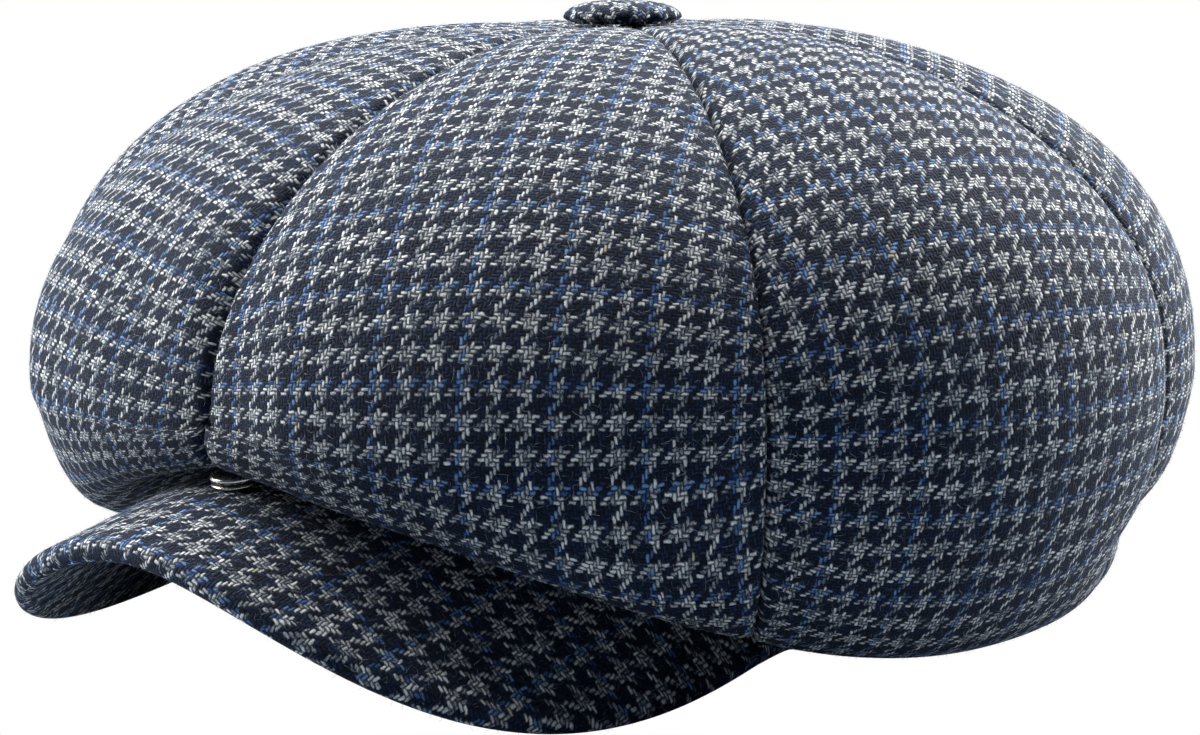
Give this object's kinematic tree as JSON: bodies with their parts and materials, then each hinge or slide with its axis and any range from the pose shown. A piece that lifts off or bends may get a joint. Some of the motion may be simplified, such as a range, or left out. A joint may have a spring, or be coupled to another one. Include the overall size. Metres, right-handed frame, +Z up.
{
  "type": "newsboy cap",
  "caption": "Soft panelled tweed cap with a full crown, a covered top button and a curved peak held to the crown by a press stud.",
  "frame": {"origin": "on the ground under the middle of the cap's bounding box", "axes": "+Z up, -Y the way the peak points, +X the wearer's left"},
  "size_m": [0.279, 0.284, 0.1384],
  "materials": {
    "tweed": "woven wool, houndstooth check with a blue overcheck, napped and matt",
    "peak_lining_tweed": "the same woven wool on the underside of the peak, matt",
    "nickel": "bright nickel plating"
  },
  "bodies": {
    "root": {"crown_panel_1": "tweed", "crown_panel_2": "tweed", "crown_panel_3": "tweed", "crown_panel_4": "tweed", "crown_panel_5": "tweed", "crown_panel_6": "tweed", "crown_panel_7": "tweed", "crown_panel_8": "tweed", "peak_top": "tweed", "peak_under": "peak_lining_tweed", "button": "tweed", "snap_stud": "nickel", "snap_socket": "nickel"}
  },
  "joints": []
}
